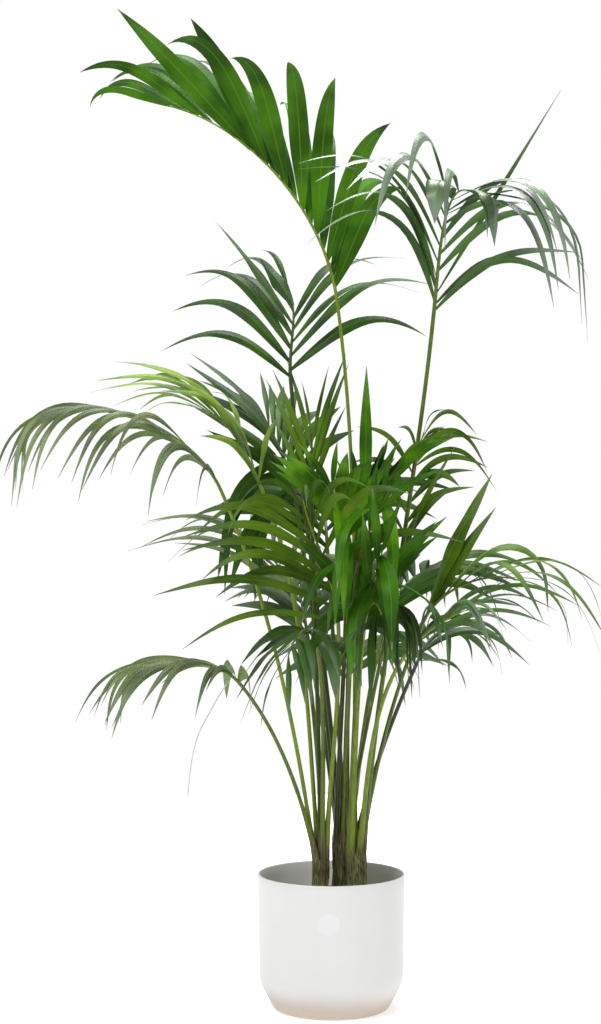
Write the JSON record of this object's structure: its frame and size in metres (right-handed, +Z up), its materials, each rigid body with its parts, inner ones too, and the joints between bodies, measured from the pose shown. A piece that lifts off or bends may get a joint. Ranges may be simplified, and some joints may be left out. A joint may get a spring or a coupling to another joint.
{
  "type": "potted kentia palm",
  "caption": "Kentia palm of long arching pinnate fronds on slender petioles, grown from short stems in a plain round pot with a flat base.",
  "frame": {"origin": "centre of the pot's flat underside", "axes": "+Z up along the pot's axis, -Y towards the viewer of the picture, +X to the viewer's right"},
  "size_m": [1.0846, 1.1093, 1.7541],
  "materials": {
    "pot": "matt white, pale sand at the foot",
    "soil": "dark crumbly potting mix",
    "stem": "fibrous brown sheaths",
    "petiole": "smooth olive green",
    "frond": "satin green, finely veined"
  },
  "bodies": {
    "root": {"frond_back_left": "frond", "frond_back_low": "frond", "frond_back_mid": "frond", "frond_back_right": "frond", "frond_centre_up": "frond", "frond_front_fall": "frond", "frond_front_high": "frond", "frond_front_left": "frond", "frond_front_low": "frond", "frond_front_low_left": "frond", "frond_front_mid": "frond", "frond_front_right": "frond", "frond_left_arch": "frond", "frond_left_bright": "frond", "frond_left_spray": "frond", "frond_low_left": "frond", "frond_low_right": "frond", "frond_mid_back_left": "frond", "frond_mid_left": "frond", "frond_right_arch": "frond", "frond_right_low": "frond", "frond_right_spray": "frond", "frond_top_left": "frond", "frond_top_right": "frond", "petiole_back_left": "petiole", "petiole_back_low": "petiole", "petiole_back_mid": "petiole", "petiole_back_right": "petiole", "petiole_centre_up": "petiole", "petiole_front_fall": "petiole", "petiole_front_high": "petiole", "petiole_front_left": "petiole", "petiole_front_low": "petiole", "petiole_front_low_left": "petiole", "petiole_front_mid": "petiole", "petiole_front_right": "petiole", "petiole_left_arch": "petiole", "petiole_left_bright": "petiole", "petiole_left_spray": "petiole", "petiole_low_left": "petiole", "petiole_low_right": "petiole", "petiole_mid_back_left": "petiole", "petiole_mid_left": "petiole", "petiole_right_arch": "petiole", "petiole_right_low": "petiole", "petiole_right_spray": "petiole", "petiole_top_left": "petiole", "petiole_top_right": "petiole", "pot": "pot", "soil": "soil", "stem_back": "stem", "stem_left": "stem", "stem_middle": "stem", "stem_right": "stem"}
  },
  "joints": []
}
